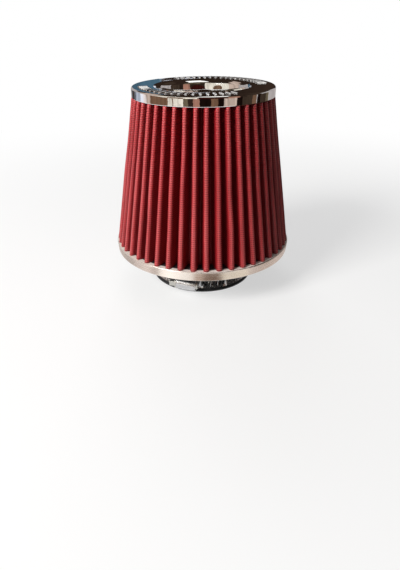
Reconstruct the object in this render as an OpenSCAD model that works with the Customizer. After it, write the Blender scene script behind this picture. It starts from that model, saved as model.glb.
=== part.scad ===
// Cone air filter with an open, inverted top: an outer cone and an inner upside-down cone of pleated
// media, a pressed cap with a rolled lip, a bottom ring and a rubber base with a clamped neck.
// Millimetres, +Z up. The origin is the centre of the neck's lower end, on which the filter stands.
// The front is -Y. Angles round the axis are counted from the front towards +X.

/* [Body] */
// Outside diameter of the ring round the foot of the outer cone
ring_d = 152; // [144:1:170]
// Outside diameter of the top cap
cap_d = 112.5; // [108:0.5:120]
// Height from the ring's lower edge to the cap's flat face
body_h = 133.5; // [120:0.5:160]
// Height of the ring
ring_h = 8; // [7:0.5:12]
// How far the ring's lower edge is drawn in from its widest place
ring_taper = 0.7; // [0:0.1:1.5]
// Thickness of the ring's sheet
ring_t = 1; // [0.8:0.1:1.2]

/* [Top cap] */
// Height of the cap's band
band_h = 7.4; // [6:0.1:9]
// Thickness of the cap's sheet
cap_t = 1; // [0.8:0.1:1.2]
// Radius of the edge between the band and the flat face
cap_edge_r = 1.4; // [1.2:0.1:2]
// Diameter of the mouth, inside the rolled lip
mouth_d = 70.6; // [64:0.2:72]
// Radius of the rolled lip's section
lip_r = 2; // [1.8:0.1:2.4]
// Height of the rolled lip above the flat face
lip_h = 1.6; // [1:0.1:1.7]
// Depth of the funnel below the flat face
funnel_h = 13; // [12:0.5:16]
// How much narrower the funnel's radius is at its lower end
funnel_taper = 2; // [1:0.1:3]

/* [Raised bars on the cap] */
// Number of bars in each of the two arcs
bar_count = 19; // [3:1:23]
// Angle between neighbouring bars
bar_step = 6; // [5:0.5:7]
// Middle of the first arc, counted from the front
bar_middle = -26; // [-90:1:90]
// Length of a bar
bar_length = 7.6; // [4:0.2:9]
// Width of a bar
bar_w = 1.8; // [1:0.1:2.4]
// Height of a bar above the flat face
bar_h = 0.7; // [0.3:0.1:1]

/* [Pleated media] */
// Number of pleats in the outer cone
pleats = 47; // [44:1:50]
// Turn of the outer cone's first ridge from the front
ridge_turn = 2.3; // [-3.6:0.1:3.6]
// Depth of the outer cone's pleats
pleat_depth = 14.5; // [12:0.5:15]
// Number of pleats in the inner cone
inner_pleats = 26; // [20:1:27]
// Depth of the inner cone's pleats
inner_depth = 7; // [5:0.5:7]
// Radius over the inner cone's pleats at its lower end
inner_foot_r = 27; // [26:0.5:30]
// Length of the inner cone
inner_h = 88; // [60:1:92]
// Thickness of the folded sheet, gauze and screens together
media_t = 1.2; // [0.8:0.1:1.2]
// Width of an outward fold as a share of the pitch at its tip
ridge_share = 0.47; // [0.46:0.01:0.56]
// Width of an inward fold as a share of the pitch at its tip
valley_share = 0.62; // [0.6:0.01:0.66]

/* [Base and neck] */
// Bore of the neck, which goes over the intake pipe
bore_d = 76; // [70:1:80]
// Wall of the neck under the clamp
neck_wall = 5; // [4:0.5:6]
// Length of the neck below the ring
neck_h = 27.5; // [25:0.5:40]
// How far the neck's bead and shoulder stand out beside the clamp
neck_step = 1.4; // [1:0.1:2]
// Radius of the fillet between the neck and the plate
neck_fillet = 4; // [2:0.5:5]

/* [Hose clamp] */
// Width of the band
clamp_w = 12.7; // [9:0.1:12.7]
// Thickness of the band
clamp_t = 0.8; // [0.6:0.1:1]
// Height of the middle of the band above the neck's lower end
clamp_z = 9.9; // [9.5:0.1:11]
// Angle of the screw housing, counted from the front
clamp_angle = -15; // [-180:1:180]
// Number of punched slots
slot_count = 25; // [12:1:36]
// Angle between neighbouring slots
slot_step = 4; // [3.8:0.1:5]
// Diameter of the worm screw
worm_d = 8; // [7:0.1:8.4]
// Width across the flats of the screw's head
head_af = 7; // [6:0.1:8]

/* [Hidden] */
$fn = 96;

// Levels above the neck's lower end
ring_z = neck_h;
seat_z = neck_h + ring_h;
face_z = neck_h + body_h;
band_z = face_z - band_h;
funnel_z = face_z - funnel_h;
inner_foot_z = funnel_z - inner_h;

// Radii of the cap
cap_r = cap_d / 2;
mouth_r = mouth_d / 2;
lip_middle = mouth_r + lip_r;
lip_z = face_z + lip_h - lip_r;
bar_r = (cap_r - cap_edge_r + mouth_r + 2 * lip_r) / 2;

// Radii of the ring and the two cones of media
ring_r = ring_d / 2;
ring_flange_r = ring_r - 4.5;
ring_lip_r = ring_r - ring_taper - 2.5;
pleat_foot_r = ring_r - 0.8;
pleat_top_r = cap_r;
inner_top_r = pleat_top_r - pleat_depth - 0.4;

// Radii of the base and the neck
bore_r = bore_d / 2;
neck_r = bore_r + neck_wall;
shoulder_r = neck_r + neck_step;
seat_in_r = pleat_foot_r - pleat_depth - 2.5;
floor_drop = 3;

// Clamp: the housing's cheeks reach past the band's edges, and the groove in the neck clears them
cheek = 0.9;
groove_h = clamp_w + 2 * cheek + 0.6;
band_in_r = neck_r;
clamp_out_r = neck_r + 2 * clamp_t;
worm_r = worm_d / 2;
worm_play = 0.2;
worm_axis_r = clamp_out_r + worm_r + worm_play;
housing_l = 17;
housing_wall = 1;
housing_r = worm_r + worm_play + housing_wall;

// Points on an arc of radius r about [x, y], from angle a to angle b, in n steps
function arc(x, y, r, a, b, n) = [for (i = [0:n]) let (t = a + (b - a) * i / n) [x + r * cos(t), y + r * sin(t)]];

// Radius of the ring's outside at height z
function ring_at(z) = ring_r - ring_taper * (seat_z - z) / ring_h;

// Radius of the funnel's inside at height z
function funnel_at(z) = mouth_r - funnel_taper * (lip_z - z) / (lip_z - funnel_z);

// Half of one fold of a sheet, from the middle of the ridge to the middle of the valley, as [x, y] with y
// along the radius. The ridge and the valley are arcs, and the flank is the line that touches both.
// side is 1 for the outer face of the sheet and -1 for its inner face.
function half_fold(count, tip_r, depth, side, ridge_steps, valley_steps) =
    let (half_pitch = 180 / count,
         ridge = ridge_share * PI * tip_r / count,
         valley = valley_share * PI * (tip_r - depth) / count,
         c1 = [0, tip_r - ridge],
         c2 = (tip_r - depth + valley) * [sin(half_pitch), cos(half_pitch)],
         away = c2 - c1,
         flank = atan2(away.y, away.x) + acos((ridge + valley - media_t) / norm(away)),
         half_t = media_t / 2)
    concat(
        [for (i = [0:ridge_steps])
            let (a = 90 + (flank - 90) * i / ridge_steps)
            c1 + (ridge - half_t + side * half_t) * [cos(a), sin(a)]],
        [for (i = [0:valley_steps])
            let (a = flank + (90 - half_pitch - flank) * i / valley_steps)
            c2 - (valley - half_t - side * half_t) * [cos(a), sin(a)]]);

// One whole loop of folds at height z, as points in space
function fold_loop(count, tip_r, depth, side, ridge_steps, valley_steps, z) =
    let (half = half_fold(count, tip_r, depth, side, ridge_steps, valley_steps),
         last = len(half) - 1,
         fold = concat([for (i = [last - 1:-1:1]) [-half[i].x, half[i].y]], half))
    [for (k = [0:count - 1], p = fold)
        let (turn = 360 * k / count)
        [p.x * cos(turn) + p.y * sin(turn), p.y * cos(turn) - p.x * sin(turn), z]];

// A cone folded from one sheet of even thickness, with the same depth of pleat from end to end
module pleated_cone(count, depth, low_r, low_z, high_r, high_z, ridge_steps, valley_steps) {
    loops = [for (end = [[low_r, low_z], [high_r, high_z]], side = [1, -1])
        fold_loop(count, end[0], depth, side, ridge_steps, valley_steps, end[1])];
    n = len(loops[0]);
    // Two triangles for each stretch between loops a and b
    function strip(a, b) = [for (i = [0:n - 1], half = [0, 1])
        let (j = (i + 1) % n)
        half == 0 ? [a * n + i, a * n + j, b * n + j] : [a * n + i, b * n + j, b * n + i]];
    polyhedron(concat(loops[0], loops[1], loops[2], loops[3]),
               concat(strip(2, 0), strip(0, 1), strip(1, 3), strip(3, 2)));
}

module at_clamp() rotate([0, 0, clamp_angle]) translate([0, 0, clamp_z]) children();

// Turns a shape that stands on the XY plane so that it runs along +X, on the worm screw's axis
module along_worm(x) translate([x, -worm_axis_r, 0]) rotate([0, 90, 0]) children();

module raised_bar() {
    linear_extrude(cap_t / 2 + bar_h) {
        square([bar_length - bar_w, bar_w], center = true);
        for (end = [-1, 1]) translate([end * (bar_length - bar_w) / 2, 0]) circle(d = bar_w, $fn = 24);
    }
}

// Pressed cap: band, flat face, rolled lip and funnel, all of one sheet
module top_cap() {
    over = asin((face_z - lip_z) / lip_r);
    under = asin((face_z - cap_t - lip_z) / (lip_r - cap_t));
    outside = concat(
        [[cap_r, band_z]],
        arc(cap_r - cap_edge_r, face_z - cap_edge_r, cap_edge_r, 0, 90, 5),
        arc(lip_middle, lip_z, lip_r, over, 180, 14),
        [[funnel_at(funnel_z), funnel_z]]);
    inside = concat(
        [[funnel_at(funnel_z) + cap_t, funnel_z]],
        arc(lip_middle, lip_z, lip_r - cap_t, 180, under, 12),
        arc(cap_r - cap_edge_r, face_z - cap_edge_r, cap_edge_r - cap_t, 90, 0, 3),
        [[cap_r - cap_t, band_z]]);
    color([0.86, 0.87, 0.88]) {
        rotate_extrude() polygon(concat(outside, inside));
        for (half = [0, 180], i = [0:bar_count - 1])
            rotate([0, 0, bar_middle + half + (i - (bar_count - 1) / 2) * bar_step - 90])
                translate([bar_r, 0, face_z - cap_t / 2]) raised_bar();
    }
}

// Cast sealing compound that fills the cap and holds the upper ends of both cones
module top_seal() {
    under_z = face_z - cap_t;
    skirt_r = inner_top_r;
    color([0.1, 0.1, 0.11])
        rotate_extrude() polygon([
            [cap_r - cap_t, band_z], [cap_r - cap_t, face_z - cap_edge_r], [cap_r - cap_edge_r, under_z],
            [funnel_at(under_z) + cap_t, under_z], [funnel_at(funnel_z) + cap_t, funnel_z],
            [skirt_r, funnel_z], [skirt_r, band_z]]);
}

module outer_pleats() {
    color([0.66, 0.12, 0.16]) rotate([0, 0, 180 + ridge_turn])
        pleated_cone(pleats, pleat_depth, pleat_foot_r, seat_z, pleat_top_r, band_z, 4, 2);
}

module inner_pleats() {
    color([0.5, 0.08, 0.11])
        pleated_cone(inner_pleats, inner_depth, inner_foot_r, inner_foot_z, inner_top_r, funnel_z, 3, 2);
}

// Moulded cup that closes the lower end of the inner cone
module inner_end_cap() {
    rim_in_r = inner_foot_r + 1;
    rim_r = rim_in_r + 2;
    rim_h = 3;
    plate_h = 8;
    corner = 3;
    recess_r = inner_foot_r - 9;
    recess_h = 3.5;
    z = inner_foot_z;
    color([0.12, 0.12, 0.13])
        rotate_extrude() polygon(concat(
            [[0, z - plate_h + recess_h], [recess_r - recess_h / 2, z - plate_h + recess_h],
             [recess_r, z - plate_h]],
            arc(rim_r - corner, z - plate_h + corner, corner, -90, 0, 5),
            arc(rim_r - 1, z + rim_h - 1, 1, 0, 90, 3),
            [[rim_in_r, z + rim_h], [rim_in_r, z], [0, z]]));
}

// Rolled metal ring of C section that holds the edge of the base
module trim_ring() {
    edge = 0.9;
    color([0.78, 0.77, 0.75])
        rotate_extrude() polygon(concat(
            arc(ring_at(ring_z) - edge, ring_z + edge, edge, -90, -5, 4),
            arc(ring_at(seat_z) - edge, seat_z - edge, edge, -5, 90, 5),
            [[ring_flange_r, seat_z], [ring_flange_r, seat_z - ring_t],
             [ring_at(seat_z - ring_t) - ring_t, seat_z - ring_t],
             [ring_at(ring_z + ring_t) - ring_t, ring_z + ring_t],
             [ring_lip_r, ring_z + ring_t], [ring_lip_r, ring_z]]));
}

// Moulded rubber base: the plate that the outer cone stands on, and the neck with its seat for the clamp
module base() {
    chamfer = 0.8;
    groove_low = clamp_z - groove_h / 2;
    groove_high = clamp_z + groove_h / 2;
    floor_z = seat_z - floor_drop;
    mouth_round = 2.5;
    color([0.09, 0.09, 0.1])
        rotate_extrude() polygon(concat(
            [[bore_r + chamfer, 0]],
            arc(shoulder_r - chamfer, chamfer, chamfer, -90, 0, 3),
            [[shoulder_r, groove_low - chamfer], [neck_r, groove_low], [neck_r, groove_high],
             [shoulder_r, groove_high + chamfer]],
            arc(shoulder_r + neck_fillet, ring_z - neck_fillet, neck_fillet, 180, 90, 6),
            [[ring_lip_r, ring_z], [ring_lip_r, ring_z + ring_t],
             [ring_at(ring_z + ring_t) - ring_t, ring_z + ring_t],
             [ring_at(seat_z - ring_t) - ring_t, seat_z - ring_t],
             [ring_flange_r, seat_z - ring_t], [ring_flange_r, seat_z],
             [seat_in_r, seat_z], [seat_in_r - floor_drop / 2, floor_z]],
            arc(bore_r + mouth_round, floor_z - mouth_round, mouth_round, 90, 180, 5),
            [[bore_r, chamfer]]));
}

// Steel band of the clamp: one full turn, and a tail that lies on it past the housing
module clamp_band() {
    tail_sweep = 62;
    tail_start = -18;
    slot_w = 1.3;
    slot_l = 7.6;
    slot_tilt = 10;
    color([0.7, 0.71, 0.73])
        at_clamp() difference() {
            union() {
                rotate([0, 0, tail_start + tail_sweep / 2 - 90]) rotate_extrude()
                    translate([band_in_r, -clamp_w / 2]) square([clamp_t, clamp_w]);
                rotate([0, 0, tail_start - 90]) rotate_extrude(angle = tail_sweep)
                    translate([band_in_r + clamp_t / 2, -clamp_w / 2]) square([1.5 * clamp_t, clamp_w]);
            }
            for (i = [0:slot_count - 1])
                rotate([0, 0, tail_start + tail_sweep - (i + 1) * slot_step])
                    translate([0, -band_in_r, 0]) rotate([0, slot_tilt, 0])
                        cube([slot_w, 6 * clamp_t, slot_l], center = true);
        }
}

// Folded housing over the screw: a saddle on the band, a round cover, and cheeks that grip the band's edges
module clamp_housing() {
    cheek_l = 11;
    cheek_out = 3;
    color([0.74, 0.75, 0.77])
        at_clamp() difference() {
            union() {
                along_worm(-housing_l / 2) cylinder(r = housing_r, h = housing_l, $fn = 48);
                translate([-housing_l / 2, -worm_axis_r, -housing_r])
                    cube([housing_l, worm_axis_r - neck_r, 2 * housing_r]);
                translate([-cheek_l / 2, -clamp_out_r - cheek_out, -clamp_w / 2 - cheek])
                    cube([cheek_l, cheek_out + 2 * clamp_t, clamp_w + 2 * cheek]);
            }
            along_worm(-housing_l) cylinder(r = worm_r + worm_play, h = 2 * housing_l, $fn = 48);
            translate([0, 0, -clamp_w / 2]) cylinder(r = clamp_out_r, h = clamp_w);
            translate([0, 0, -clamp_w]) cylinder(r = neck_r, h = 2 * clamp_w);
        }
}

// Worm screw: shank, collar and slotted hexagon head
module clamp_screw() {
    collar_r = worm_r + 1.1;
    collar_h = 1.2;
    head_h = 5;
    tip = 1;
    end_x = housing_l / 2 + 1.5;
    head_x = -housing_l / 2 - collar_h;
    slot_w = 1.1;
    slot_depth = 2;
    color([0.64, 0.65, 0.67])
        at_clamp() difference() {
            union() {
                along_worm(head_x) cylinder(r = worm_r, h = end_x - tip - head_x, $fn = 48);
                along_worm(end_x - tip) cylinder(r1 = worm_r, r2 = worm_r - tip, h = tip, $fn = 48);
                along_worm(head_x) cylinder(r = collar_r, h = collar_h, $fn = 48);
                along_worm(head_x - head_h) cylinder(d = head_af / cos(30), h = head_h, $fn = 6);
            }
            translate([head_x - head_h, -worm_axis_r, 0])
                cube([2 * slot_depth, slot_w, 2 * head_af], center = true);
        }
}

top_cap();
top_seal();
outer_pleats();
inner_pleats();
inner_end_cap();
trim_ring();
base();
clamp_band();
clamp_housing();
clamp_screw();
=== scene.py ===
"""Looks of a cone air filter: two cones of pleated gauze under a chromed cap, with a satin ring at the foot
and a rubber neck in a hose clamp.

Lengths are in millimetres in the functions and become metres when a mesh is made. The stage, the camera and
the lamps are in metres. +Z is up and the front is -Y. Angles round the axis are in degrees, counted from the
front towards +X. Every new piece is a grid of points, worked out as whole arrays: a profile turned round the
axis, or a folded sheet carried from one height to another.
"""
from collections import namedtuple

import bmesh
import bpy
import numpy as np
from mathutils import Matrix, Vector


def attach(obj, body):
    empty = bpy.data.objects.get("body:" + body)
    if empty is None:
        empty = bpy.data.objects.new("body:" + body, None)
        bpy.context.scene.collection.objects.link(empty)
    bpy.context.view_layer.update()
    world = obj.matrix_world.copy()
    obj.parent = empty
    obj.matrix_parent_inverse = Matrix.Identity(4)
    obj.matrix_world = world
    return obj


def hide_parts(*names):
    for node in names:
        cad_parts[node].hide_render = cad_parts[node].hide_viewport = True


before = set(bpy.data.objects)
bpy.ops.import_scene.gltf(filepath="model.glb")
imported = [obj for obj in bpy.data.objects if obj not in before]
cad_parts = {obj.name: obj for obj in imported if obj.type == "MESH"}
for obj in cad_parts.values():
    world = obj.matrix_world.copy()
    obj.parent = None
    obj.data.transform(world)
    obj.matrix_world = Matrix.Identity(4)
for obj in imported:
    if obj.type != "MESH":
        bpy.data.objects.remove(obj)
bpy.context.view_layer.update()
rng = np.random.default_rng(7)
MM = 0.001

# Measures of the filter, as its solids have them
RING_R, RING_TAPER, RING_T, RING_Z = 76.0, 0.7, 1.0, 27.5
FLANGE_R, RING_LIP_R, SEAT_Z = 71.5, 72.8, 35.5
UNDER_FLANGE, OVER_LIP = SEAT_Z - RING_T, RING_Z + RING_T
CAP_R, CAP_T, EDGE_R = 56.25, 1.0, 1.4
BAND_Z, FACE_Z, FUNNEL_Z, FUNNEL_R = 153.6, 161.0, 148.0, 33.3
BAR_R, BAR_L, BAR_W, BAR_H = 47.075, 7.6, 1.8, 0.7
BAR_COUNT, BAR_STEP, BAR_MIDDLE = 19, 6.0, -26.0
MEDIA_T, RIDGE_SHARE, VALLEY_SHARE = 1.2, 0.47, 0.62
BORE_R, CHAMFER, NECK_R, SHOULDER_R = 38.0, 0.8, 43.0, 44.4
GROOVE_LOW, GROOVE_HIGH, FLARE_R = 2.35, 17.45, 4.0
SEAT_IN_R, THROAT_R, THROAT_Z = 58.2, 2.5, 30.0
CUP_R, CUP_IN_R, CUP_LIP, CUP_DEPTH, CUP_FLOOR = 30.0, 28.0, 3.0, 8.0, 4.5
RECESS_R, RECESS_FOOT_R, CUP_FOOT_ROUND, CUP_LIP_ROUND = 16.25, 18.0, 3.0, 1.0

# Measures that the looks alone have: the mouth's roll and wall with the angles where they end, the width of
# the slope round a raised bar, and the cap's waves, each with its height, its count and its start in radians
MOUTH_R, ROLL_R, WALL_R = 39.3, 4.8, 40.0
ROLL_END, WALL_END = 167.0, 174.5
BAR_SLOPE = 0.75
WAVES = [(0.035, 3, 0.6), (0.025, 7, 2.1), (0.012, 13, 0.0)]

# Where the cap's grid has columns either side of a bar's middle line, in degrees, and rows inwards from each
# end of a bar
BAR_COLUMNS = np.array([0.35, 0.65, 0.85, 1.05, 1.25, 1.5, 1.8])
BAR_ROWS = np.array([-0.6, -0.4, -0.25, -0.1, 0.05, 0.2, 0.4, 0.7, 1.1, 1.6])

# The folded cones. The radii are those of the ridges' tips, and turn is the angle of the first ridge. In the
# looks the ridges stand off their even places by up to bunching degrees and wander by about uneven.
Cone = namedtuple("Cone", "pleats depth foot_r foot_z top_r top_z turn "
                          "bunching uneven rows ridge_points valley_points")
OUTER = Cone(pleats=47, depth=14.5, foot_r=75.2, foot_z=SEAT_Z, top_r=56.25, top_z=BAND_Z, turn=2.3,
             bunching=1.3, uneven=0.2, rows=54, ridge_points=7, valley_points=4)
INNER = Cone(pleats=26, depth=7.0, foot_r=27.0, foot_z=60.0, top_r=41.35, top_z=FUNNEL_Z, turn=0.0,
             bunching=0.8, uneven=0.08, rows=40, ridge_points=6, valley_points=4)
BUNCHING_START = 16.0
INNER_FACE_ROWS, WANDER_KNOTS = 14, 5


# Profiles and grids

def stacked(*parts):
    """The parts side by side as the last axis of one array, each spread to the shape of all of them."""
    return np.stack(np.broadcast_arrays(*parts), -1)


def smooth(t):
    """A smooth step from 0 at 0 to 1 at 1: three times the square less twice the cube."""
    return t * t * (3 - 2 * t)


def corners(points, steps=5):
    """Rounds the corners of a closed profile. Each row is radius, height and cut. Where cut is above 0, the
    corner becomes a quadratic Bezier curve from the point at that distance before it to the point as far
    after it, with one point more on each straight, 1.3 cuts from the corner, so that the flats shade flat.
    Where cut is 0, the point stays as it is."""
    points = np.asarray(points, float)
    at, cut = points[:, None, :2], points[:, None, 2:]
    before = np.roll(points, 1, 0)[:, None, :2] - at
    after = np.roll(points, -1, 0)[:, None, :2] - at
    before /= np.linalg.norm(before, axis=-1, keepdims=True)
    after /= np.linalg.norm(after, axis=-1, keepdims=True)
    t = np.linspace(0, 1, steps + 1)[None, :, None]
    curve = at + cut * ((1 - t) ** 2 * before + t ** 2 * after)
    curve = np.concatenate([at + 1.3 * cut * before, curve, at + 1.3 * cut * after], 1)
    keep = np.ones(curve.shape[:2], bool)
    keep[points[:, 2] == 0, 1:] = False
    return curve[keep]


def arc(r, z, radius, start, end, steps):
    """Points on a circle's arc about (r, z) from angle start to end in degrees, as rows for corners() with
    no cut."""
    a = np.radians(np.linspace(start, end, steps + 1))
    return stacked(r + radius * np.cos(a), z + radius * np.sin(a), 0.0)


def turned(profile, angles):
    """The profile turned round the axis: a grid with one row for each point of the profile and one column
    for each angle. A point is (r sin angle, -r cos angle, z), so that angle 0 is the front."""
    r, z = profile[:, :1], profile[:, 1:2]
    a = np.radians(angles)[None, :]
    return stacked(r * np.sin(a), -r * np.cos(a), z)


def round_angles(count):
    """Evenly spaced angles of a full turn, in degrees."""
    return np.arange(count) * 360.0 / count


def lengths_along(profile):
    """Distance run along a closed profile at each of its points and back at the first, in millimetres."""
    step = np.linalg.norm(np.diff(np.concatenate([profile, profile[:1]]), axis=0), axis=1)
    return np.concatenate([[0], np.cumsum(step)])


def turned_map(profile, angles, radius):
    """Pattern coordinates of a turned profile in metres: distance round the axis at that radius, and
    distance along the profile."""
    u = np.radians(np.append(angles, angles[0] + 360.0))[None, :] * radius
    v = lengths_along(profile)[:, None]
    return stacked(u, v) * MM


def next_quads(rows, columns):
    """The quads of a grid that is closed both ways, as the row and the column of their four corners, before
    wrapping."""
    r, c = np.meshgrid(np.arange(rows), np.arange(columns), indexing="ij")
    corner_rows = np.stack([r, r, r + 1, r + 1], -1).reshape(-1, 4)
    corner_columns = np.stack([c, c + 1, c + 1, c], -1).reshape(-1, 4)
    return corner_rows, corner_columns


def add_piece(name, grid, pattern, finish, slot, node):
    """Makes a piece from a grid that is closed both ways. Points that fall together, as at a pole, are
    merged, and the faces are turned outwards: the enclosed volume, the sum of each face's corner dotted
    with its area vector, has to come out positive."""
    rows, columns = grid.shape[:2]
    r, c = next_quads(rows, columns)
    quads = (r % rows) * columns + c % columns
    points = grid.reshape(-1, 3) * MM
    p = points[quads]
    volume = np.einsum("ij,ij->", p[:, 0], np.cross(p[:, 2] - p[:, 0], p[:, 3] - p[:, 1]))
    if volume < 0:
        quads, r, c = quads[:, ::-1], r[:, ::-1], c[:, ::-1]
    mesh = bpy.data.meshes.new(name)
    mesh.from_pydata(points, [], quads)
    layer = mesh.uv_layers.new(name="sheet")
    layer.data.foreach_set("uv", pattern[r, c].astype(np.float32).ravel())
    merge_poles(mesh)
    return settle(name, mesh, finish, node)


def merge_poles(mesh):
    """Merges the points of a mesh that fall together and removes the faces that this leaves without area."""
    together, no_length = 1e-6, 1e-7
    work = bmesh.new()
    work.from_mesh(mesh)
    bmesh.ops.remove_doubles(work, verts=work.verts, dist=together)
    bmesh.ops.dissolve_degenerate(work, dist=no_length, edges=work.edges)
    work.to_mesh(mesh)
    work.free()


def settle(name, mesh, finish, node):
    """Puts a finished mesh into the scene as a piece that rides on the filter's one body."""
    mesh.polygons.foreach_set("use_smooth", np.ones(len(mesh.polygons), bool))
    mesh.materials.append(finish)
    mesh.update()
    piece = bpy.data.objects.new(name, mesh)
    bpy.context.scene.collection.objects.link(piece)
    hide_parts(node)
    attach(piece, "root")
    return piece


# Shader maths

class Value:
    """One output socket. Arithmetic on it adds Math nodes, in either order of its operands."""

    def __init__(self, finish, socket):
        self.finish, self.socket = finish, socket

    def __add__(self, other):
        return self.finish.math("ADD", self, other)

    def __radd__(self, other):
        return self.finish.math("ADD", other, self)

    def __sub__(self, other):
        return self.finish.math("SUBTRACT", self, other)

    def __rsub__(self, other):
        return self.finish.math("SUBTRACT", other, self)

    def __mul__(self, other):
        return self.finish.math("MULTIPLY", self, other)

    def __rmul__(self, other):
        return self.finish.math("MULTIPLY", other, self)

    def __truediv__(self, other):
        return self.finish.math("DIVIDE", self, other)

    def __rtruediv__(self, other):
        return self.finish.math("DIVIDE", other, self)

    def __pow__(self, other):
        return self.finish.math("POWER", self, other)

    def __rpow__(self, other):
        return self.finish.math("POWER", other, self)

    def clamped(self):
        """The value kept from 0 to 1."""
        return self.finish.node("ShaderNodeClamp", {}, {0: self})

    def between(self, low, high):
        """0 at low, 1 at high, and a smooth step from one to the other."""
        return self.finish.node("ShaderNodeMapRange", {"interpolation_type": "SMOOTHSTEP"},
                                {"Value": self, "From Min": low, "From Max": high})


class Finish:
    """The nodes of a material or of the world."""

    def __init__(self, block):
        block.use_nodes = True
        self.block, self.tree = block, block.node_tree
        self.tree.nodes.clear()

    def node(self, kind, settings, inputs, output=0):
        """Adds a node of any type and returns one of its outputs. Its settings come first, and then the
        value or link of each socket. Sockets go by name or number."""
        made = self.tree.nodes.new(kind)
        for key, value in settings.items():
            setattr(made, key, value)
        for key, value in inputs.items():
            if isinstance(value, Value):
                self.tree.links.new(value.socket, made.inputs[key])
            else:
                made.inputs[key].default_value = value
        return Value(self, made.outputs[output])

    def end(self, kind, shader):
        """Ends the nodes in an output node and returns the material or world."""
        self.tree.links.new(shader.socket, self.tree.nodes.new(kind).inputs[0])
        return self.block

    def math(self, operation, *values):
        """A Math node on one or two values."""
        return self.node("ShaderNodeMath", {"operation": operation}, dict(enumerate(values)))

    def place(self):
        """The point on the piece, in metres."""
        return self.node("ShaderNodeTexCoord", {}, {}, "Object")

    def sheet(self):
        """The piece's own pattern coordinates, in metres along it."""
        return self.node("ShaderNodeUVMap", {"uv_map": "sheet"}, {})

    def parts(self, vector):
        """The three numbers of a vector."""
        split = self.node("ShaderNodeSeparateXYZ", {}, {0: vector})
        return [Value(self, socket) for socket in split.socket.node.outputs]

    def stretched(self, vector, x, y, z):
        """The vector times a different number along each axis."""
        return self.node("ShaderNodeVectorMath", {"operation": "MULTIPLY"}, {0: vector, 1: (x, y, z)})

    def noise(self, vector, scale, detail=2.0, roughness=0.5):
        """Cloudy noise from 0 to 1, scale clouds to the metre."""
        return self.node("ShaderNodeTexNoise", {},
                         {"Vector": vector, "Scale": scale, "Detail": detail, "Roughness": roughness})

    def mix(self, share, first, second):
        """The first colour where share is 0 and the second where it is 1. The node takes its colours at
        inputs 6 and 7 and gives the mixed colour at output 2."""
        first, second = (c if isinstance(c, Value) else (*c, 1) for c in (first, second))
        return self.node("ShaderNodeMix", {"data_type": "RGBA"}, {0: share, 6: first, 7: second}, 2)

    def bump(self, height, distance):
        """A normal from a height of 0 to 1 times distance in metres."""
        return self.node("ShaderNodeBump", {}, {"Height": height, "Distance": distance, "Strength": 1.0})

    def seen(self):
        """1 for the rays that show a thing to the camera, straight, mirrored or through glass, and 0 for the
        rays that bring it light."""
        straight, mirrored, through = (self.node("ShaderNodeLightPath", {}, {}, f"Is {kind} Ray")
                                       for kind in ("Camera", "Glossy", "Transmission"))
        return (straight + mirrored + through).clamped()

    def glow(self, colour):
        """A shader that shows a colour as it is."""
        return self.node("ShaderNodeEmission", {}, {"Color": colour, "Strength": 1.0})

    def surface(self, inputs):
        """Ends the material in one Principled shader."""
        return self.end("ShaderNodeOutputMaterial", self.node("ShaderNodeBsdfPrincipled", {}, inputs))


def new_finish(name):
    """An empty material of that name."""
    return Finish(bpy.data.materials.new(name))


# Finishes

WIRE_PITCH = 1.65


def gauze_finish(name, cone, reach, cloth, oil_and_fold_shade, wire, crest_highlight):
    """Oiled cotton gauze under a woven wire screen. Both sets of wires lie one pitch apart along the
    sheet's own coordinates, each wire a rounded rib that drifts a little, and the cloth between them has a
    finer weave and uneven oil. The folds get painted shade: the colour deepens with the distance inwards
    from the cone through the ridges' tips, as a share of the reach. The crests of the folds get a painted
    highlight, a paler colour, and the folds glow faintly, painted light that stands in for light coming
    through the thin gauze."""
    f = new_finish(name)
    place = f.place()
    x, y, z = f.parts(place)
    slope = (cone.top_r - cone.foot_r) / (cone.top_z - cone.foot_z)
    tip_r = (cone.foot_r - slope * cone.foot_z) * MM + z * slope
    sunk = (tip_r - (x * x + y * y) ** 0.5) / (reach * MM)
    # painted highlight: the mask of the folds' crests, where the colour turns paler
    crest_highlight_mask = sunk.between(0.04, 0.0)

    def rib(distance):
        """1 on a wire's middle and 0 halfway to the next: the absolute cosine of the distance, half a wave
        to the pitch."""
        return f.math("ABSOLUTE", f.math("COSINE", distance * (np.pi / (WIRE_PITCH * MM))))

    u, v, _ = f.parts(f.sheet())
    drift = f.noise(place, 260.0) * 0.00035
    upright_wires = rib(u + drift).between(0.7, 0.98) * 0.6
    level_wires = rib(v + drift).between(0.45, 0.97)
    wires = f.math("MAXIMUM", upright_wires, level_wires)
    weave = f.noise(f.stretched(place, 1, 1, 0.6), 2600.0, 3.0, 0.6)
    oil = f.noise(place, 75.0, 3.0, 0.55)
    slack = f.noise(f.stretched(place, 1, 1, 0.25), 160.0)
    shade = f.mix(oil.between(0.3, 0.7), oil_and_fold_shade, cloth)
    shade = f.mix(weave.between(0.35, 0.8) * 0.35, shade, oil_and_fold_shade)
    # painted highlight: the cloth and the wires on the crests are coloured paler
    shade = f.mix(crest_highlight_mask * 0.3, shade, crest_highlight)
    shade = f.mix(wires * 0.8, shade, f.mix(crest_highlight_mask, wire, crest_highlight))
    # painted shade: the colour darkens towards the oiled colour deeper into the folds
    shade = f.mix(sunk.between(0.0, 0.2) * 0.55, shade, oil_and_fold_shade)
    return f.surface({
        "Base Color": shade,
        "Roughness": 0.46 - wires * 0.12 + (weave - 0.5) * 0.15,
        "Specular IOR Level": 0.48,
        # painted light: a faint red glow deep in the folds, in place of light coming through the gauze
        "Emission Color": f.mix(sunk.between(0.08, 0.5), (0, 0, 0), (0.007, 0.0001, 0.0003)),
        "Emission Strength": 1.0,
        "Normal": f.bump(wires * 0.8 + weave * 0.25 + slack * 0.5, 0.0003),
    })


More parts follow.
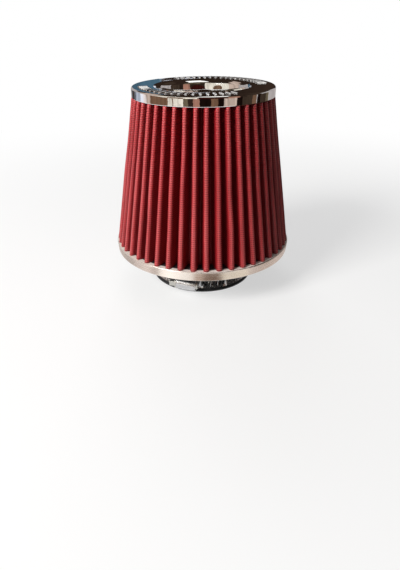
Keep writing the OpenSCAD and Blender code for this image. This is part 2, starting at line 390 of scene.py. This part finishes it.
def chrome_finish():
    """Mirror chrome on pressed sheet: long soft waves of the pressing, a faint orange-peel, and a thin film
    of dust, finger marks and scratches in the roughness. The raised bars are worn to a satin, less so
    towards the left."""
    f = new_finish("cap_chrome")
    place = f.place()
    x, _, z = f.parts(place)
    waves = f.noise(place, 38.0)
    peel = f.noise(place, 420.0)
    marks = f.noise(place, 60.0, 4.0, 0.6)
    scratches = f.noise(f.stretched(place, 1, 1, 9), 900.0, 2.0, 0.7)
    raised = z.between((FACE_Z + 0.12) * MM, (FACE_Z + 0.4) * MM)
    worn = raised * x.between(-0.045, -0.026)
    film = marks.between(0.5, 0.8) * 0.045 + scratches.between(0.66, 0.8) * 0.06
    return f.surface({
        "Base Color": f.mix(marks.between(0.5, 0.85) * 0.25, (0.87, 0.87, 0.875), (0.8, 0.79, 0.78)),
        "Metallic": 1 - worn * 0.4,
        "Roughness": 0.025 + film + worn * 0.3,
        "Normal": f.bump(waves * 0.9 + peel * 0.03, 0.00045),
    })


def satin_finish():
    """Satin rolled sheet: fine lines round the ring, soft bands where it was rolled, and dull spots. The
    level ledge on top, between the folds, is dusty."""
    f = new_finish("ring_metal")
    place = f.place()
    _, _, z = f.parts(place)
    lines = f.noise(f.stretched(f.sheet(), 12, 900, 1), 2.2, 3.0, 0.6)
    bands = f.noise(f.stretched(place, 1, 1, 0.2), 22.0)
    spots = f.noise(place, 300.0, 3.0, 0.6)
    ledge = z.between((SEAT_Z - 0.12) * MM, (SEAT_Z - 0.04) * MM)
    shade = f.mix(bands.between(0.35, 0.7), (0.84, 0.775, 0.72), (0.72, 0.64, 0.575))
    shade = f.mix(spots.between(0.62, 0.85) * 0.2, shade, (0.5, 0.44, 0.39))
    return f.surface({
        "Base Color": f.mix(ledge, shade, (0.84, 0.79, 0.73)),
        "Metallic": 1 - ledge * 0.8,
        "Roughness": 0.22 + lines * 0.1 + spots.between(0.6, 0.85) * 0.08 + ledge * 0.3,
        "Normal": f.bump(lines * 0.6 + bands * 0.8, 0.00003),
    })


def rubber_finish(name, colour, grain, roughness):
    """Moulded rubber: a fine grain, a bloom that pales it in clouds, and specks of dust."""
    f = new_finish(name)
    place = f.place()
    skin = f.noise(place, 1800.0, 3.0, 0.6)
    bloom = f.noise(place, 45.0, 4.0, 0.6)
    dust = f.noise(place, 1100.0, 1.0)
    pale = tuple(c * 1.9 + 0.012 for c in colour)
    shade = f.mix(bloom.between(0.42, 0.75) * 0.6, colour, pale)
    shade = f.mix(dust.between(0.72, 0.8) * 0.5, shade, (0.2, 0.19, 0.18))
    return f.surface({
        "Base Color": shade,
        "Roughness": roughness + (bloom - 0.5) * 0.15,
        "Specular IOR Level": 0.45,
        "Normal": f.bump(skin, grain),
    })


def steel_finish(name, colour, roughness, stretch):
    """Bright rolled or zinc-plated steel: lines along the rolling, clouds in the plating and a few dull
    marks."""
    f = new_finish(name)
    place = f.place()
    lines = f.noise(f.stretched(place, *stretch), 900.0, 3.0, 0.6)
    clouds = f.noise(place, 130.0, 3.0, 0.6)
    marks = f.noise(place, 520.0, 2.0, 0.6)
    dull = tuple(c * 0.62 for c in colour)
    return f.surface({
        "Base Color": f.mix(clouds.between(0.4, 0.75) * 0.5, colour, dull),
        "Metallic": 1.0,
        "Roughness": roughness + lines * 0.1 + marks.between(0.55, 0.75) * 0.2,
        "Normal": f.bump(lines, 0.00003),
    })


# The cap

def cap_angles():
    """Angles of the cap's columns and of its bars. The columns lie close together across each raised bar,
    further apart between the bars, and widest apart in the two gaps between the arcs of bars."""
    on_arc = (np.arange(BAR_COUNT) - (BAR_COUNT - 1) / 2) * BAR_STEP
    arc_middles = BAR_MIDDLE + np.array([[0.0], [180.0]])
    bars = (arc_middles + on_arc).ravel()
    across = np.concatenate([-BAR_COLUMNS[::-1], [0.0], BAR_COLUMNS, [2.5, 3.5]])
    gap_start, gap_end = on_arc[-1] + 4.0, 180.0 + on_arc[0] - 2.3
    on_bars = (bars[:, None] + across).ravel()
    off_bars = (arc_middles + np.linspace(gap_start, gap_end, 23)[1:-1]).ravel()
    return np.sort(np.concatenate([on_bars, off_bars]) % 360.0), bars


def mouth_rows(inset):
    """The mouth's section from the flat face down into the funnel: a tight arc, which rolls the face over,
    and then a wide arc that starts in the same direction. The inset is how far under the sheet's outside
    the section runs: both arcs keep their centres, and their radii are smaller by it."""
    roll_middle = np.array([MOUTH_R, FACE_Z - ROLL_R])
    a = np.radians(ROLL_END)
    wall_middle = roll_middle + (ROLL_R - WALL_R) * np.array([np.cos(a), np.sin(a)])
    return np.concatenate([arc(*roll_middle, ROLL_R - inset, 90, ROLL_END, 18),
                           arc(*wall_middle, WALL_R - inset, ROLL_END, WALL_END, 6)[1:]])


def cap_profile():
    """The pressed cap's section: up the band, over the rolled edge, in along the flat face, over the mouth's
    roll and down the funnel, and back under the sheet."""
    face_radii = np.concatenate([[54.0, 52.6], BAR_R + BAR_L / 2 - BAR_ROWS, [48.1, 46.0],
                                 BAR_R - BAR_L / 2 + BAR_ROWS[::-1], [41.6, 40.4]])
    return corners(np.concatenate([
        [[CAP_R, BAND_Z, 0.42], [CAP_R, BAND_Z + 1.5, 0], [CAP_R, BAND_Z + 4, 0]],
        arc(CAP_R - EDGE_R, FACE_Z - EDGE_R, EDGE_R, -4, 94, 12)[1:-1],
        stacked(face_radii, FACE_Z, 0.0),
        mouth_rows(0),
        [[FUNNEL_R, FUNNEL_Z, 0.4], [FUNNEL_R + CAP_T, FUNNEL_Z, 0.4]],
        mouth_rows(CAP_T)[::-1],
        [[CAP_R - EDGE_R, FACE_Z - CAP_T, 0.2], [CAP_R - CAP_T, FACE_Z - EDGE_R - 0.1, 0.2],
         [CAP_R - CAP_T, BAND_Z, 0.42]]]))


def bar_rise(r, angles, bars):
    """How far the face is raised at each radius and angle, from 0 to 1. Round a bar, side is the distance
    from its middle line and length the distance past the line's end. The fourth root of the sum of their
    fourth powers, less half the bar's width, is the distance outside its outline, a rounded square at each
    end. The rise falls by a smooth step along the bar's slope, halfway at the outline."""
    off = (angles[:, None] - bars + 180) % 360 - 180
    nearest = np.take_along_axis(off, np.abs(off).argmin(-1, keepdims=True), -1)[:, 0]
    side = r * np.radians(nearest)
    length = np.maximum(np.abs(r - BAR_R) - (BAR_L - BAR_W) / 2, 0)
    outside = (side ** 4 + length ** 4) ** 0.25 - BAR_W / 2
    return smooth(np.clip(0.5 - outside / BAR_SLOPE, 0, 1))


def cap_grid():
    """The pressed cap: its profile turned round the axis, with raised bars on the flat face. The sheet waves
    by a few hundredths of a millimetre, the sum of three sines of the angle, and the waves fade out down the
    band and in the funnel."""
    profile = cap_profile()
    angles, bars = cap_angles()
    grid = turned(profile, angles)
    r, z = np.hypot(grid[..., 0], grid[..., 1]), grid[..., 2]
    on_face = (np.abs(z - FACE_Z) < 1e-6) & (r > 40) & (r < 55)
    z = z + np.where(on_face, BAR_H * bar_rise(r, angles, bars), 0)
    turn = np.radians(angles)
    wave = sum(height * np.sin(count * turn + start) for height, count, start in WAVES)
    fade = (np.clip((z - FACE_Z + 3) / 2, 0, 1) * np.clip((r - 35) / 3, 0, 1)
            * np.clip((CAP_R + 0.05 - r) / 3, 0, 1))
    grid[..., 2] = z + wave * fade
    return grid, turned_map(profile, angles, BAR_R)


# Pleated gauze

def fold_points(cone, tip_r, side, ridge_shift, valley_shift):
    """One face of a folded sheet at every height, as complex numbers x + iy. Each ridge is an arc about its
    centre, each valley is an arc about its own, and the flank is the line that touches both. The flank's
    normal is the direction from ridge to valley, turned by the angle whose cosine is the sum of the two
    radii over their distance. Each ridge is moved round the axis by the cone's bunching times the sine of
    twice its angle, so that the folds stand wider on some sides. side is 1 for the outer face of the sheet
    and -1 for its inner face. A shift is how far each centre moves outwards, plus i times how far it moves
    sideways."""
    tip_r = tip_r[:, None]
    ridge = RIDGE_SHARE * np.pi * tip_r / cone.pleats
    valley = VALLEY_SHARE * np.pi * (tip_r - cone.depth) / cone.pleats
    evenly = cone.turn + 360.0 / cone.pleats * np.arange(cone.pleats + 1)
    bunched = evenly + cone.bunching * np.sin(np.radians(2 * evenly + BUNCHING_START))
    ridges = np.radians(bunched - 90) + 0 * tip_r
    top_turn, next_turn = ridges[:, :-1], ridges[:, 1:]
    dip_turn = (top_turn + next_turn) / 2
    tops = (tip_r - ridge + ridge_shift) * np.exp(1j * top_turn)
    dips = (tip_r - cone.depth + valley + valley_shift) * np.exp(1j * dip_turn)
    top_radius = ridge - (1 - side) * MEDIA_T / 2 + 0 * top_turn
    dip_radius = valley - (1 + side) * MEDIA_T / 2 + 0 * top_turn

    def flank(top, dip, hand):
        """Direction of the normal of the flank on that hand of a valley."""
        away = dip - top
        return np.angle(away) - hand * np.arccos((top_radius + dip_radius) / np.abs(away))

    def sweep(centre, radius, start, end, places):
        """Points on an arc, the short way round from start to end."""
        start, end = start[..., None], end[..., None]
        turned_by = (end - start + np.pi) % (2 * np.pi) - np.pi
        return centre[..., None] + radius[..., None] * np.exp(1j * (start + turned_by * places))

    next_tops = np.roll(tops, -1, 1)
    going, coming = flank(tops, dips, 1), flank(next_tops, dips, -1)
    on_ridge, on_valley = np.linspace(0, 1, cone.ridge_points), np.linspace(0, 1, cone.valley_points)
    off_top = sweep(tops, top_radius, top_turn, going, on_ridge)
    into_dip = sweep(dips, -dip_radius, going, dip_turn, on_valley)
    out_of_dip = sweep(dips, -dip_radius, dip_turn, coming, on_valley[1:])
    onto_top = sweep(next_tops, top_radius, coming, next_turn, on_ridge[:-1])
    down_middle = (off_top[..., -1:] + into_dip[..., :1]) / 2
    up_middle = (out_of_dip[..., -1:] + onto_top[..., :1]) / 2
    fold = np.concatenate([off_top, down_middle, into_dip, out_of_dip, up_middle, onto_top], -1)
    return fold.reshape(len(tip_r), -1)


def wander(cone, share=1.0):
    """A seeded uneven shift for each fold at each height: a few random values up the sheet, a quarter as
    large at both ends, where the folds are cast in, with a smooth step from each to the next. They spread
    by the cone's unevenness times the share."""
    size = cone.uneven * share
    knots = rng.normal(0, size, (WANDER_KNOTS, cone.pleats)) + rng.normal(0, size * 0.6, (1, cone.pleats))
    knots[[0, -1]] *= 0.25
    at = np.linspace(0, WANDER_KNOTS - 1, cone.rows)
    low = np.minimum(at.astype(int), WANDER_KNOTS - 2)
    t = smooth(at - low)[:, None]
    return knots[low] * (1 - t) + knots[low + 1] * t


def pleated_grid(cone):
    """A cone folded from one sheet, closed all round: the outer face from the foot to the top, then the
    inner face from the top back to the foot. Pattern coordinates are the distance along the folded sheet,
    taken halfway up, and the distance up the cone."""
    last = cone.rows - 1
    shift = wander(cone) * 1j + wander(cone, 0.7)
    dip_shift = wander(cone) * 1j
    picked = np.round(np.linspace(last, 0, INNER_FACE_ROWS)).astype(int)
    share = np.concatenate([np.arange(cone.rows), picked]) / last
    tip_r = cone.foot_r + (cone.top_r - cone.foot_r) * share
    z = cone.foot_z + (cone.top_z - cone.foot_z) * share
    outer = fold_points(cone, tip_r[:cone.rows], 1, shift, dip_shift)
    inner = fold_points(cone, tip_r[cone.rows:], -1, shift[picked], dip_shift[picked])
    plane = np.concatenate([outer, inner])
    halfway = outer[cone.rows // 2]
    run = np.concatenate([[0], np.cumsum(np.abs(np.diff(np.append(halfway, halfway[0]))))])
    up_sheet = share * np.hypot(cone.top_z - cone.foot_z, cone.top_r - cone.foot_r)
    up_sheet = np.append(up_sheet, up_sheet[-1] - MEDIA_T)
    return stacked(plane.real, plane.imag, z[:, None]), stacked(run, up_sheet[:, None]) * MM


# Ring, rubber and filling

def ring_at(z):
    """Radius of the ring's outside at height z: it narrows evenly towards its lower edge."""
    return RING_R - RING_TAPER * (SEAT_Z - z) / (SEAT_Z - RING_Z)


def ring_profile():
    """The ring's section: the outer wall, the flange turned in at the top and the narrow lip below."""
    outer_cut, cut = 0.95, 0.3
    return np.array([
        [ring_at(RING_Z), RING_Z, outer_cut], [ring_at(SEAT_Z), SEAT_Z, outer_cut],
        [FLANGE_R, SEAT_Z, cut], [FLANGE_R, UNDER_FLANGE, cut],
        [ring_at(UNDER_FLANGE) - RING_T, UNDER_FLANGE, cut], [ring_at(OVER_LIP) - RING_T, OVER_LIP, cut],
        [RING_LIP_R, OVER_LIP, cut], [RING_LIP_R, RING_Z, cut]])


def base_profile():
    """The rubber base's section: up the neck with the groove for the clamp, out by a flare to the ring, up
    the ring's inside, in along the seat of the outer cone, and down the throat into the bore."""
    cut, foot_cut, ring_cut = 0.25, 0.8, 0.1
    seat_drop, seat_lean, underside_r, bore_middle_z = 3.0, 1.5, 70.0, 20.0
    return np.concatenate([
        [[BORE_R + CHAMFER, 0, cut], [SHOULDER_R, 0, foot_cut],
         [SHOULDER_R, GROOVE_LOW - CHAMFER, cut], [NECK_R, GROOVE_LOW, cut],
         [NECK_R, GROOVE_HIGH, cut], [SHOULDER_R, GROOVE_HIGH + CHAMFER, cut]],
        arc(SHOULDER_R + FLARE_R, RING_Z - FLARE_R, FLARE_R, 180, 90, 10),
        [[underside_r, RING_Z, 0], [RING_LIP_R, RING_Z, 0.12],
         [RING_LIP_R, OVER_LIP, ring_cut], [ring_at(OVER_LIP) - RING_T, OVER_LIP, ring_cut],
         [ring_at(UNDER_FLANGE) - RING_T, UNDER_FLANGE, ring_cut], [FLANGE_R, UNDER_FLANGE, ring_cut],
         [FLANGE_R, SEAT_Z, ring_cut], [SEAT_IN_R, SEAT_Z, 0.4],
         [SEAT_IN_R - seat_lean, SEAT_Z - seat_drop, 0.5]],
        arc(BORE_R + THROAT_R, THROAT_Z, THROAT_R, 90, 180, 10),
        [[BORE_R, bore_middle_z, 0], [BORE_R, CHAMFER, cut]]])


def filling_profile():
    """The section of the cast filling: it lines the cap from the band to the funnel, and its level underside
    holds the upper ends of both cones."""
    inside_r, under_face = CAP_R - CAP_T, FACE_Z - CAP_T
    return np.concatenate([
        [[inside_r, BAND_Z, 0.3], [inside_r, FACE_Z - EDGE_R, 0.2], [CAP_R - EDGE_R, under_face, 0.2]],
        mouth_rows(CAP_T),
        [[FUNNEL_R + CAP_T, FUNNEL_Z, 0.3], [INNER.top_r, FUNNEL_Z, 0.6], [INNER.top_r, BAND_Z, 0.3]]])


def cup_profile():
    """The section of the cup under the inner cone, closed at the middle: a recessed underside, a foot, a
    rounded outer wall and a lip. Points at 8 and 14 mm keep the two discs flat."""
    z = INNER.foot_z
    return np.concatenate([
        [[0, z - CUP_FLOOR, 0], [8, z - CUP_FLOOR, 0], [RECESS_R, z - CUP_FLOOR, 0.5],
         [RECESS_FOOT_R, z - CUP_DEPTH, 0.5]],
        arc(CUP_R - CUP_FOOT_ROUND, z - CUP_DEPTH + CUP_FOOT_ROUND, CUP_FOOT_ROUND, -90, 0, 10),
        arc(CUP_R - CUP_LIP_ROUND, z + CUP_LIP - CUP_LIP_ROUND, CUP_LIP_ROUND, 0, 90, 6),
        [[CUP_IN_R, z + CUP_LIP, 0.3], [CUP_IN_R, z, 0.3], [14, z, 0], [0, z, 0]]])


def turned_piece(name, points, columns, pattern_r, finish, slot, node, steps=5):
    """A closed profile with rounded corners, turned round the axis."""
    profile, angles = corners(points, steps), round_angles(columns)
    pattern = turned_map(profile, angles, pattern_r)
    return add_piece(name, turned(profile, angles), pattern, finish, slot, node)


# Hose clamp

def smoothed_copy(node, name, finish, width):
    """A copy of a solid with its doubles merged and its flat stretches joined, and its edges broken by a
    small bevel."""
    together, flat, sharp = 2e-6, np.radians(0.4), np.radians(32)
    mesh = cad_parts[node].data.copy()
    mesh.name = name
    mesh.materials.clear()
    work = bmesh.new()
    work.from_mesh(mesh)
    bmesh.ops.remove_doubles(work, verts=work.verts, dist=together)
    bmesh.ops.dissolve_limit(work, angle_limit=flat, verts=work.verts, edges=work.edges)
    work.to_mesh(mesh)
    work.free()
    piece = settle(name, mesh, finish, node)
    bevel = piece.modifiers.new("edges", "BEVEL")
    bevel.width = width * MM
    bevel.segments = 2
    bevel.limit_method = "ANGLE"
    bevel.angle_limit = sharp
    bevel.harden_normals = True
    return piece


# Pieces

chrome = chrome_finish()
# The crest colours are painted highlights, and the oiled colours also paint the shade in the folds
outer_gauze = gauze_finish("outer_gauze", OUTER, OUTER.depth, cloth=(0.30, 0.006, 0.012),
                           oil_and_fold_shade=(0.16, 0.002, 0.005), wire=(0.54, 0.03, 0.036), crest_highlight=(0.70, 0.098, 0.105))
inner_gauze = gauze_finish("inner_gauze", INNER, 4 * INNER.depth, cloth=(0.26, 0.006, 0.013),
                           oil_and_fold_shade=(0.14, 0.002, 0.005), wire=(0.42, 0.035, 0.04), crest_highlight=(0.5, 0.08, 0.08))
ring_metal = satin_finish()
base_rubber = rubber_finish("base_rubber", (0.018, 0.018, 0.02), 0.00005, 0.55)
cup_rubber = rubber_finish("end_cap_rubber", (0.03, 0.03, 0.034), 0.00004, 0.45)
seal_compound = rubber_finish("seal_compound", (0.02, 0.02, 0.023), 0.00008, 0.35)
clamp_steel = steel_finish("clamp_steel", (0.62, 0.62, 0.63), 0.18, (1, 1, 12))
screw_steel = steel_finish("screw_steel", (0.58, 0.57, 0.53), 0.24, (6, 1, 1))

add_piece("pressed_cap", *cap_grid(), chrome, "cap_chrome", "top_cap")
add_piece("outer_cone", *pleated_grid(OUTER), outer_gauze, "outer_gauze", "outer_pleats")
add_piece("inner_cone", *pleated_grid(INNER), inner_gauze, "inner_gauze", "inner_pleats")
turned_piece("foot_ring", ring_profile(), 240, RING_R, ring_metal, "ring_metal", "trim_ring", steps=6)
turned_piece("rubber_base", base_profile(), 200, 50.0, base_rubber, "base_rubber", "base")
turned_piece("cap_filling", filling_profile(), 160, 45.0, seal_compound, "seal_compound", "top_seal")
turned_piece("inner_cup", cup_profile(), 128, 25.0, cup_rubber, "end_cap_rubber", "inner_end_cap")
smoothed_copy("clamp_band", "hose_clamp_band", clamp_steel, 0.12)
smoothed_copy("clamp_housing", "hose_clamp_housing", clamp_steel, 0.15)
smoothed_copy("clamp_screw", "hose_clamp_screw", screw_steel, 0.15)


# Stage

CARD_COLOURS = {
    "black": (0.008, 0.004, 0.003), "umber": (0.028, 0.017, 0.012), "bark": (0.048, 0.032, 0.022),
    "olive": (0.14, 0.11, 0.07), "brown": (0.18, 0.10, 0.06), "tan": (0.38, 0.19, 0.135),
    "wine": (0.036, 0.006, 0.005), "rose": (0.54, 0.42, 0.35), "dusk": (0.60, 0.53, 0.50),
    "blush": (0.88, 0.78, 0.75), "cream": (0.83, 0.77, 0.66), "grey": (0.46, 0.42, 0.41),
    "slate": (0.12, 0.125, 0.145), "blue": (0.06, 0.125, 0.18), "ice": (0.46, 0.50, 0.59),
    "snow": (0.74, 0.76, 0.84), "bright": (1.3, 1.27, 1.22)}
ON_FLOOR, OVER_FLOOR = 0.0006, 0.001


def card_finish(name, colour):
    """A card that shows its colour as it is, lit or not, with soft upright streaks from 0.7 to 1.3 of it."""
    f = new_finish(name)
    streaks = f.noise(f.stretched(f.place(), 1, 1, 0.12), 14.0, 3.0, 0.6)
    dim, full = (f.glow((*(c * level for c in colour), 1)) for level in (0.7, 1.3))
    streaked = f.node("ShaderNodeMixShader", {}, {0: streaks.between(0.25, 0.75), 1: dim, 2: full})
    return f.end("ShaderNodeOutputMaterial", streaked)


def floor_finish():
    """A pale floor that keeps the filter's shadow near it and turns white further off, for rays that go to
    the camera and for mirrored ones. It throws little light back at the filter."""
    f = new_finish("floor")
    x, y, _ = f.parts(f.place())
    far = 0.58 + ((x * x + y * y) ** 0.5).between(0.16, 0.7) * 0.42
    seen = f.seen()
    matt = f.node("ShaderNodeBsdfPrincipled", {}, {
        "Base Color": f.mix(seen, (0.26, 0.25, 0.25), (0.88, 0.88, 0.88)), "Roughness": 1.0,
        "Specular IOR Level": 0.0})
    shown = f.node("ShaderNodeMixShader", {}, {0: seen * far, 1: matt, 2: f.glow((1, 1, 1, 1))})
    return f.end("ShaderNodeOutputMaterial", shown)


def add_stage(name, points, finish, faces=((0, 1, 2, 3),), mirrored_only=False):
    """Adds a stage piece. A card that is mirrored_only shows in gloss and lights nothing."""
    mesh = bpy.data.meshes.new(name)
    mesh.from_pydata(np.asarray(points, float), [], np.asarray(faces))
    mesh.materials.append(finish)
    card = bpy.data.objects.new(name, mesh)
    bpy.context.scene.collection.objects.link(card)
    if mirrored_only:
        card.visible_camera = card.visible_diffuse = card.visible_shadow = card.visible_transmission = False


def level_square(half, z):
    """The corners of a level square about the axis."""
    return [[-half, -half, z], [half, -half, z], [half, half, z], [-half, half, z]]


def wall_card(name, start, end, radius, low, high, colour, foot=None, crown=0.0):
    """A curved card that stands round the filter from one angle to another, a strip of a cylinder. Its upper
    edge is a half ellipse that rises by the crown in the middle. With a foot it also lies on the floor, from
    its lower edge in to the foot's radius."""
    across = np.linspace(-1, 1, max(2, int(abs(end - start) / 4) + 2))
    a = np.radians(start + (end - start) * (across + 1) / 2)
    rows = [(radius, high + crown * np.sqrt(1 - across ** 2)), (radius, low)]
    if foot:
        rows.append((foot, ON_FLOOR))
    points = np.concatenate([stacked(r * np.sin(a), -r * np.cos(a), z) for r, z in rows])
    i = np.arange(len(points)).reshape(len(rows), len(a))
    faces = np.stack([i[1:, :-1], i[1:, 1:], i[:-1, 1:], i[:-1, :-1]], -1).reshape(-1, 4)
    add_stage(name, points, cards[colour], faces, mirrored_only=True)


def card_row(name, radius, low, high, foot, start, row):
    """Cards side by side round the filter. Each entry of the row is the angle where a card ends and its
    colour."""
    for number, (end, colour) in enumerate(row):
        wall_card(f"{name}_{number}", start, end, radius, low, high, colour, foot)
        start = end


add_stage("floor", level_square(6.0, 0.0), floor_finish())
cards = {name: card_finish("card_" + name, colour) for name, colour in CARD_COLOURS.items()}

# Cards that the band and the mouth mirror, from the floor up
card_row("low_card", 0.95, 0.0, 0.12, 0.6, -185, [
    (-154, "grey"), (-145, "slate"), (-136, "bark"), (-128, "slate"), (-112, "ice"), (-104, "snow"),
    (-96, "blush"), (-87, "rose"), (-54, "brown"), (-47.5, "cream"), (-46, "brown"), (-29, "cream"),
    (-22, "olive"), (-14, "umber"), (-4, "tan"), (12, "black"), (21, "brown"), (30, "black"), (52, "rose"),
    (62, "black"), (79, "bark"), (87, "brown"), (88.5, "grey"), (96, "black"), (111, "bark"),
    (120, "olive"), (185, "grey")])
card_row("middle_card", 0.95, 0.12, 0.55, None, -165, [
    (-112, "grey"), (-76, "rose"), (-5, "cream"), (37, "umber"), (57, "tan"), (69, "umber"), (99, "bark"),
    (150, "grey")])
card_row("tall_card", 0.94, 0.55, 0.85, None, -125, [
    (-76, "rose"), (-5, "cream"), (8, "umber"), (57, "olive")])
wall_card("brown_arch", -55, -29, 0.94, 0.12, 0.34, "brown", crown=0.09)
wall_card("red_arch", -8, 37, 0.93, 0.12, 0.22, "wine", crown=0.23)
wall_card("high_card", -95, 152, 0.96, 0.38, 1.3, "umber")
wall_card("front_window", -25, 19, 0.93, 0.85, 1.15, "olive")
wall_card("right_window", 100, 150, 0.93, 0.7, 1.25, "bark")
wall_card("left_window", -150, -95, 0.93, 0.85, 1.3, "rose")

# Cards on the floor: those that the ring mirrors, close to it, and one that the right of the band mirrors
card_row("ring_card", 0.13, ON_FLOOR, OVER_FLOOR, 0.085, -170, [
    (-110, "rose"), (-70, "dusk"), (-48, "blush"), (-39, "dusk"), (-7, "bright"), (1.5, "rose"),
    (17, "brown"), (43, "cream"), (112, "dusk"), (140, "brown"), (185, "umber")])
wall_card("right_floor", 50, 185, 0.6, ON_FLOOR, OVER_FLOOR, "umber", 0.13)

# Cards behind and above, which the flat face and the far side of the mouth mirror
wall_card("back_card", 112, 250, 1.6, 0.15, 2.0, "umber")
wall_card("back_low_card", 112, 250, 1.6, 0.0, 0.15, "snow")
wall_card("back_blue_card", 185.6, 204, 1.55, 0.18, 0.62, "blue")
wall_card("back_light_card", 179.0, 186.0, 1.5, 0.17, 0.325, "snow")
add_stage("ceiling_card", level_square(1.3, 1.45), cards["umber"], mirrored_only=True)
add_stage("ceiling_window", [[-0.26, -0.8, 1.4], [0.8, -0.8, 1.4], [0.5, 0.12, 1.4], [0.07, 0.12, 1.4]],
          cards["bright"], mirrored_only=True)


# Camera and light

def photo_camera():
    """A camera in front of the filter and above it, looking down at 30 degrees. Its axes are worked out
    from its pitch, yaw and roll, and its lens and shift from the frame of 400 by 570, where the optical
    middle and the focal length are in pixels."""
    wide, tall, focal, middle_x, middle_y = 400.0, 570.0, 493.3, 185.3, 290.1
    pitch, yaw, roll = np.radians([29.96, -2.2, -0.71])
    place, sensor = [0, -0.4134, 0.2146], 36.0
    ahead = np.array([np.sin(yaw) * np.cos(pitch), np.cos(yaw) * np.cos(pitch), -np.sin(pitch)])
    right = np.array([np.cos(yaw), -np.sin(yaw), 0.0])
    up = np.cross(right, ahead)
    matrix = np.eye(4)
    matrix[:3, 0] = right * np.cos(roll) + up * np.sin(roll)
    matrix[:3, 1] = up * np.cos(roll) - right * np.sin(roll)
    matrix[:3, 2] = -ahead
    matrix[:3, 3] = place
    data = bpy.data.cameras.new("camera")
    data.sensor_fit, data.sensor_width = "AUTO", sensor
    data.lens = focal / tall * sensor
    data.shift_x, data.shift_y = (wide / 2 - middle_x) / tall, (middle_y - tall / 2) / tall
    data.clip_start, data.clip_end = 0.01, 50.0
    data.dof.use_dof = False
    camera = bpy.data.objects.new("camera", data)
    camera.matrix_world = Matrix(matrix.tolist())
    bpy.context.scene.collection.objects.link(camera)
    bpy.context.scene.camera = camera


def area_lamp(name, place, size, power, colour, mirrored=True):
    """A square soft lamp that faces the filter's middle. One that isn't mirrored doesn't show in gloss."""
    filter_middle = Vector((0, 0, 0.09))
    data = bpy.data.lights.new(name, "AREA")
    data.shape, data.size, data.energy, data.color = "SQUARE", size, power, colour
    lamp = bpy.data.objects.new(name, data)
    lamp.location = place
    lamp.rotation_euler = (filter_middle - Vector(place)).to_track_quat("-Z", "Y").to_euler()
    lamp.visible_glossy = mirrored
    bpy.context.scene.collection.objects.link(lamp)


def studio_world(level):
    """A white world: at full white for camera, mirrored and transmitted rays, and at level for the light
    that it gives."""
    f = Finish(bpy.data.worlds.new("studio"))
    strength = f.node("ShaderNodeMapRange", {}, {"Value": f.seen(), "To Min": level, "To Max": 1.0})
    sky = f.node("ShaderNodeBackground", {}, {"Color": (1, 1, 1, 1), "Strength": strength})
    bpy.context.scene.world = f.end("ShaderNodeOutputWorld", sky)


photo_camera()
studio_world(0.14)
area_lamp("key_lamp", (-0.91, -0.81, 0.85), 0.55, 25.8, (1.0, 0.985, 0.96))
area_lamp("back_lamp", (-0.25, 1.35, 0.9), 0.8, 8.0, (0.97, 0.98, 1.0), mirrored=False)
bpy.context.scene.view_settings.view_transform = "Standard"
